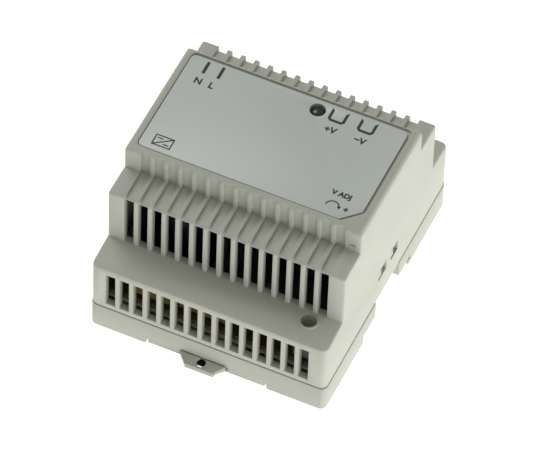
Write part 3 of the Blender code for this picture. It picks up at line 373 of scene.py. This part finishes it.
canLook = {
    "bulk_capacitor": {"sleeve": blueSleeveWithPaintedShade, "slot": "blue_sleeve", "rim": 1.5, "stripeTurn": 150},
    "output_capacitor_1": {"sleeve": blackSleeve, "slot": "black_resin", "rim": 0.7, "stripeTurn": 200},
    "output_capacitor_2": {"sleeve": blackSleeve, "slot": "black_resin", "rim": 0.7, "stripeTurn": 320},
    "output_capacitor_3": {"sleeve": blackSleeve, "slot": "black_resin", "rim": 0.7, "stripeTurn": 260},
}


canShape = {"crownDeepMm": 0.35, "ventMm": 0.25, "roundMm": 0.28, "roundAngle": 50, "sides": 48,
            "stripeHalfTurn": 0.3, "stripeShortMm": 0.6}


def addCan(node, look):
    low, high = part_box(node)
    middle, radius, height = (low + high) / 2, (high.x - low.x) / 2, high.z - low.z
    bpy.ops.object.select_all(action="DESELECT")
    bpy.ops.mesh.primitive_cylinder_add(vertices=canShape["sides"], radius=radius, depth=height,
                                        location=middle)
    can = applyAll(bpy.context.active_object)
    can.name = can.data.name = pieceName(node)
    mesh = editing(can)
    pick(can, mesh, "FACE", lambda face: face.normal.z > 0.9)
    bpy.ops.mesh.inset(thickness=look["rim"] * mm, depth=-canShape["crownDeepMm"] * mm)
    bpy.ops.mesh.inset(thickness=canShape["ventMm"] * mm, depth=0)
    doneEditing()
    rim = can.modifiers.new("rim", "BEVEL")
    rim.width, rim.segments = canShape["roundMm"] * mm, edgeSteps
    rim.angle_limit = math.radians(canShape["roundAngle"])
    applyAll(can)
    for stuff in (look["sleeve"], paleStripe, millAluminium):
        can.data.materials.append(stuff)
    stripe = math.radians(look["stripeTurn"])
    for face in can.data.polygons:
        spoke = face.center - middle
        turn = (math.atan2(spoke.y, spoke.x) - stripe + math.pi) % (2 * math.pi) - math.pi
        upright = abs(face.normal.z) < 0.3
        below = face.center.z < high.z - canShape["stripeShortMm"] * mm
        if upright and below and abs(turn) < canShape["stripeHalfTurn"]:
            face.material_index = 1
        if face.normal.z > 0.9 and math.hypot(spoke.x, spoke.y) < radius - look["rim"] * mm:
            face.material_index = 2
    takeUp(can)
    bpy.ops.object.shade_smooth_by_angle(angle=smoothAngle)
    settle(can, "housing", look["slot"], look["sleeve"], node)


for node, look in canLook.items():
    addCan(node, look)
print("capacitors done")


# windings: one oval turn of enamelled wire, repeated up the core's leg

windingLook = {
    "wireMm": {"filter_choke_winding_1": 0.45, "filter_choke_winding_2": 0.45, "output_choke_winding": 0.5},
    "layers": 2, "pitch": 2.05, "layerStep": 1.8,  # both in wire radii
}


def addWinding(node, wire):
    low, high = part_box(node)
    middle = (low + high) / 2
    pitch = windingLook["pitch"] * wire
    layers = []
    for layer in range(windingLook["layers"]):
        inset = wire * (1 + windingLook["layerStep"] * layer)
        bpy.ops.object.select_all(action="DESELECT")
        bpy.ops.curve.primitive_bezier_circle_add(radius=1, location=(middle.x, middle.y, low.z + wire))
        ring = bpy.context.active_object
        ring.scale = ((high.x - low.x) / 2 - inset, (high.y - low.y) / 2 - inset, 1)
        bpy.ops.object.transform_apply(location=False, rotation=False, scale=True)
        ring.data.bevel_depth, ring.data.bevel_resolution, ring.data.resolution_u = wire, 2, 10
        bpy.ops.object.convert(target="MESH")
        ring = bpy.context.active_object
        ring.name = ring.data.name = f"{pieceName(node)}Layer{layer + 1}"
        stack = ring.modifiers.new("turns", "ARRAY")
        stack.use_relative_offset, stack.use_constant_offset = False, True
        stack.constant_offset_displace = (0, 0, pitch)
        stack.count = int((high.z - low.z) / pitch)
        layers.append(applyAll(ring))
    for ring in layers:
        takeUp(ring)
        bpy.ops.object.shade_smooth()
        settle(ring, "housing", "enamelled_copper", enamelledCopper)
    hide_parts(node)


for node, wireMm in windingLook["wireMm"].items():
    addWinding(node, wireMm * mm)
print("windings done")


# return spring of the rail clip: a wire coil at rest length; the real one closes up as the clip is pulled
# out

springLook = {"coilMm": 1.9, "wireMm": 0.3, "turns": 6, "steps": 24, "wireSides": 8, "keep": 0.7}


def addSpring():
    low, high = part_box("clip_spring")
    wire, coil = springLook["wireMm"] * mm, springLook["coilMm"] * mm
    middle = (low + high) / 2
    length = high.y - low.y - 2 * wire
    bpy.ops.object.select_all(action="DESELECT")
    bpy.ops.mesh.primitive_circle_add(vertices=springLook["wireSides"], radius=wire,
                                      location=(middle.x + coil, low.y + wire, middle.z))
    spring = bpy.context.active_object
    spring.name = spring.data.name = "clipSpring"
    applyAll(spring)
    coiled = spring.modifiers.new("coil", "SCREW")
    coiled.axis = "Y"
    coiled.steps = coiled.render_steps = springLook["steps"]
    coiled.angle = 2 * math.pi
    coiled.iterations = springLook["turns"]
    coiled.screw_offset = length / springLook["turns"]
    pivot = bpy.data.objects.new("coilAxis", None)
    scene.collection.objects.link(pivot)
    pivot.location = (middle.x, low.y + wire, middle.z)
    bpy.context.view_layer.update()
    coiled.object = pivot
    applyAll(spring)
    bpy.data.objects.remove(pivot)
    editing(spring)
    bpy.ops.mesh.select_mode(type="EDGE")
    bpy.ops.mesh.select_all(action="SELECT")
    bpy.ops.mesh.remove_doubles(threshold=sameSpot)
    bpy.ops.mesh.select_non_manifold()
    bpy.ops.mesh.edge_face_add()
    bpy.ops.mesh.select_all(action="SELECT")
    bpy.ops.mesh.normals_make_consistent(inside=False)
    doneEditing()
    takeUp(spring)
    bpy.ops.object.shade_smooth_by_angle(angle=math.radians(50))
    settle(spring, "housing", "zinc_plated_steel", zincSteel, "clip_spring")
    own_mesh(spring)


addSpring()
print("spring done")


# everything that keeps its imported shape

nodeStuff = (
    (milkyFilm, ("insulation_sheet",)),
    (blackEpoxy, ("transformer_bobbin", "optocoupler", "controller_chip")),
    (yellowTape, ("transformer_winding",)),
    (boardLaminate, ("circuit_board",)),
)
for stuff, names in nodeStuff:
    for name in names:
        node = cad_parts[name]
        node.data.materials.clear()
        node.data.materials.append(stuff)
print("inside finishes done")


# print on the label, a film of ink just above its face

inkLook = {
    "thick": 0.02, "above": 0.01, "line": 0.9, "bolder": 0.12, "barCorner": 0.12, "arcSteps": 18,
    "bars": (-30.4, -25.4), "barWidth": 1.0, "barY": (14.4, 19.3),
    "brackets": ((10.9, 16.5), (20.5, 26.0)), "bracketY": (14.5, 19.2), "bracketCorner": 0.9,
    "signs": (("N", -30.4, 10.9, 3.3), ("L", -26.0, 10.9, 3.3), ("+V", 13.6, 10.7, 3.2),
              ("−V", 23.3, 10.7, 3.2), ("V ADJ", 27.2, -10.8, 2.5), ("+", 30.6, -15.7, 2.8)),
    "arc": {"centre": (26.3, -16.1), "radius": 2.1, "from": 180, "to": 12, "line": 0.42, "head": 0.75},
    "converter": {"centre": (-29.6, -15.4), "wide": 6.2, "high": 4.3, "line": 0.42},
}
inkZ = labelHigh.z / mm + inkLook["above"]


def thicken(piece, depth):
    wall = piece.modifiers.new("thickness", "SOLIDIFY")
    wall.thickness = depth * mm
    wall.offset = 1.0
    return applyAll(piece)


def flatPlate(name, x, y, width, length):
    bpy.ops.object.select_all(action="DESELECT")
    bpy.ops.mesh.primitive_plane_add(size=1, location=at(x, y, inkZ))
    plate = bpy.context.active_object
    plate.name = plate.data.name = name
    plate.scale = (width * mm, length * mm, 1)
    bpy.ops.object.transform_apply(location=False, rotation=False, scale=True)
    return plate


def roundPlate(plate, radius, steps, test=lambda point: True):
    mesh = editing(plate)
    pick(plate, mesh, "VERT", lambda vert: test(vert.co))
    bpy.ops.mesh.bevel(offset=radius * mm, segments=steps, affect="VERTICES")
    doneEditing()


def printed(piece, ink=blackInk):
    return settle(piece, "housing", "label_film", ink)


def printBars():
    low, high = inkLook["barY"]
    for number, x in enumerate(inkLook["bars"], 1):
        bar = flatPlate(f"inputBar{number}", x, (low + high) / 2, inkLook["barWidth"], high - low)
        roundPlate(bar, inkLook["barCorner"], 2)
        printed(thicken(bar, inkLook["thick"]))


def printBrackets():
    # a square with two cut corners, its middle taken out and its far side left open
    low, high = inkLook["bracketY"]
    line = inkLook["line"]
    for number, (left, right) in enumerate(inkLook["brackets"], 1):
        mark = flatPlate(f"outputBracket{number}", (left + right) / 2, (low + high) / 2, right - left,
                         high - low + line)
        roundPlate(mark, inkLook["bracketCorner"], 1, lambda point: point.y < 0)
        mesh = editing(mark)
        bpy.ops.mesh.select_all(action="SELECT")
        bpy.ops.mesh.inset(thickness=line * mm, depth=0)
        bpy.ops.mesh.delete(type="FACE")
        mesh = bmesh.from_edit_mesh(mark.data)
        top = max(vert.co.y for vert in mesh.verts) - line * mm
        pick(mark, mesh, "FACE", lambda face: min(vert.co.y for vert in face.verts) > top - 1e-6)
        bpy.ops.mesh.delete(type="FACE")
        mesh = bmesh.from_edit_mesh(mark.data)
        pick(mark, mesh, "VERT", lambda vert: not vert.link_faces)
        bpy.ops.mesh.delete(type="VERT")
        mesh = bmesh.from_edit_mesh(mark.data)
        pick(mark, mesh, "VERT", lambda vert: vert.co.y > top - 1e-6)
        bpy.ops.transform.translate(value=(0, -line / 2 * mm, 0))
        doneEditing()
        printed(thicken(mark, inkLook["thick"]))


def printSigns():
    for number, (text, x, y, size) in enumerate(inkLook["signs"], 1):
        bpy.ops.object.select_all(action="DESELECT")
        bpy.ops.object.text_add(location=(0, 0, 0))
        sign = bpy.context.active_object
        sign.data.body = text
        sign.data.size = size * mm
        sign.data.align_x = "CENTER"
        sign.data.align_y = "CENTER"
        sign.data.offset = inkLook["bolder"] * mm
        sign.data.extrude = inkLook["thick"] / 2 * mm
        bpy.ops.object.convert(target="MESH")
        sign = bpy.context.active_object
        sign.name = sign.data.name = f"labelSign{number}"
        sign.location = at(x, y, inkZ + inkLook["thick"] / 2)
        printed(applyAll(sign))


def printTurnArrow():
    # a short stroke spun round the trimmer's mark, and a three-sided head at its end
    arc = inkLook["arc"]
    start, end = math.radians(arc["from"]), math.radians(arc["to"])
    centre = at(*arc["centre"], inkZ)
    inner, outer = (arc["radius"] - arc["line"] / 2) * mm, (arc["radius"] + arc["line"] / 2) * mm
    bpy.ops.object.select_all(action="DESELECT")
    bpy.ops.mesh.primitive_plane_add(size=arc["line"] * mm, location=(0, 0, 0))
    arrow = bpy.context.active_object
    arrow.name = arrow.data.name = "turnArrow"
    mesh = editing(arrow)
    pick(arrow, mesh, "VERT", lambda vert: vert.co.y > 0)
    bpy.ops.mesh.delete(type="VERT")
    mesh = bmesh.from_edit_mesh(arrow.data)
    for vert in mesh.verts:
        reach = outer if vert.co.x > 0 else inner
        vert.co = (centre.x + reach * math.cos(start), centre.y + reach * math.sin(start), centre.z)
    bmesh.update_edit_mesh(arrow.data)
    bpy.ops.mesh.select_all(action="SELECT")
    bpy.ops.mesh.spin(steps=inkLook["arcSteps"], angle=start - end, center=centre, axis=(0, 0, 1))
    doneEditing()
    bpy.ops.object.select_all(action="DESELECT")
    tip = centre + Vector((math.cos(end), math.sin(end), 0)) * arc["radius"] * mm
    bpy.ops.mesh.primitive_circle_add(vertices=3, radius=arc["head"] * mm, fill_type="NGON", location=tip,
                                      rotation=(0, 0, end + math.pi))
    head = bpy.context.active_object
    head.select_set(True)
    arrow.select_set(True)
    bpy.context.view_layer.objects.active = arrow
    bpy.ops.object.join()
    editing(arrow)
    bpy.ops.mesh.select_all(action="SELECT")
    bpy.ops.mesh.remove_doubles(threshold=sameSpot)
    bpy.ops.mesh.normals_make_consistent(inside=False)
    doneEditing()
    if sum(face.normal.z for face in arrow.data.polygons) < 0:
        editing(arrow)
        bpy.ops.mesh.select_all(action="SELECT")
        bpy.ops.mesh.flip_normals()
        doneEditing()
    printed(thicken(arrow, inkLook["thick"]))


def printConverterSign():
    # the general drawing sign for a converter: an outlined box, one slanted stroke and a bar in each half
    sign = inkLook["converter"]
    x, y = sign["centre"]
    wide, high, line = sign["wide"], sign["high"], sign["line"]
    frameMark = flatPlate("converterFrame", x, y, wide, high)
    editing(frameMark)
    bpy.ops.mesh.select_all(action="SELECT")
    bpy.ops.mesh.inset(thickness=line * mm, depth=0)
    bpy.ops.mesh.delete(type="FACE")
    doneEditing()
    printed(thicken(frameMark, inkLook["thick"]), redInk)
    slant = math.atan2(high, wide)
    strokes = (("converterStroke", 0, 0, math.hypot(wide, high) - 2.4 * line, slant),
               ("converterBarIn", -wide * 0.2, high * 0.22, wide * 0.3, 0),
               ("converterBarOut", wide * 0.2, -high * 0.22, wide * 0.3, 0))
    for name, across, along, length, turn in strokes:
        stroke = flatPlate(name, x + across, y + along, length, line)
        stroke.rotation_euler.z = turn
        printed(thicken(stroke, inkLook["thick"]), redInk)


printBars()
printBrackets()
printSigns()
printTurnArrow()
printConverterSign()
print("label print done")


# camera and light

cameraLook = {"azimuth": 22.74, "elevation": 50.78, "roll": 2.45, "distance": 1688.3, "lens": 364.7,
              "aim": (5.26, -9.0, 30.0)}


lightLook = {
    "sky": 0.36, "skyColour": (1.0, 0.995, 0.965, 1), "boxColour": (0.98, 0.99, 1.0),
    "boxes": {  # place in metres, watts, width and height in metres
        "lowReflector": ((0.62, -0.1, 0.035), 2.5, 1.1, 0.06),
        "leftSoftbox": ((-0.9, 0.5, 1.4), 9.0, 0.9, 0.9),
    },
}


def addCamera():
    azimuth = math.radians(cameraLook["azimuth"])
    elevation = math.radians(cameraLook["elevation"])
    back = Vector((math.sin(azimuth) * math.cos(elevation), -math.cos(azimuth) * math.cos(elevation),
                   math.sin(elevation)))
    place = at(*cameraLook["aim"]) + back * cameraLook["distance"] * mm
    bpy.ops.object.camera_add(location=place)
    camera = bpy.context.active_object
    camera.rotation_euler = (-back).to_track_quat("-Z", "Y").to_euler()
    camera.rotation_euler.rotate_axis("Z", math.radians(cameraLook["roll"]))
    camera.data.lens = cameraLook["lens"]
    camera.data.clip_start, camera.data.clip_end = 0.05, 20
    scene.camera = camera


floorLook = {"sizeM": 6.0, "white": "#f6f6f4", "glow": 0.72, "rough": 0.9, "belowMm": 0.05}


def addFloor():
    look = floorLook
    bpy.ops.mesh.primitive_plane_add(size=look["sizeM"], location=(0, 0, cadBox[0].z - look["belowMm"] * mm))
    floor = bpy.context.active_object
    floor.name = "floor"
    stuff, tree, shader = newMaterial("whiteBackdrop")
    shader.inputs["Base Color"].default_value = linearFrom(look["white"])
    shader.inputs["Roughness"].default_value = look["rough"]
    shader.inputs["Emission Color"].default_value = (1, 1, 1, 1)
    shader.inputs["Emission Strength"].default_value = look["glow"]
    floor.data.materials.append(stuff)


def addLights():
    world = bpy.data.worlds.new("softWhiteRoom")
    world.use_nodes = True
    scene.world = world
    tree = world.node_tree
    sky = tree.nodes["Background"]
    sky.inputs["Color"].default_value = lightLook["skyColour"]
    sky.inputs["Strength"].default_value = lightLook["sky"]
    backdrop = addNode(tree, "ShaderNodeBackground", links={"Color": (1, 1, 1, 1), "Strength": 1.0})
    seen = addNode(tree, "ShaderNodeLightPath")
    both = addNode(tree, "ShaderNodeMixShader", links={"Fac": seen.outputs["Is Camera Ray"]})
    tree.links.new(sky.outputs["Background"], both.inputs[1])
    tree.links.new(backdrop.outputs["Background"], both.inputs[2])
    tree.links.new(both.outputs["Shader"], tree.nodes["World Output"].inputs["Surface"])
    for name, (place, watts, width, height) in lightLook["boxes"].items():
        bpy.ops.object.light_add(type="AREA", location=place)
        light = bpy.context.active_object
        light.name = name
        light.data.shape = "RECTANGLE"
        light.data.size, light.data.size_y = width, height
        light.data.energy = watts
        light.data.color = lightLook["boxColour"]
        light.visible_camera = False
        aim = at(0, 0, 25) - Vector(place)
        light.rotation_euler = aim.to_track_quat("-Z", "Y").to_euler()


addCamera()
addFloor()
addLights()
print("scene done")
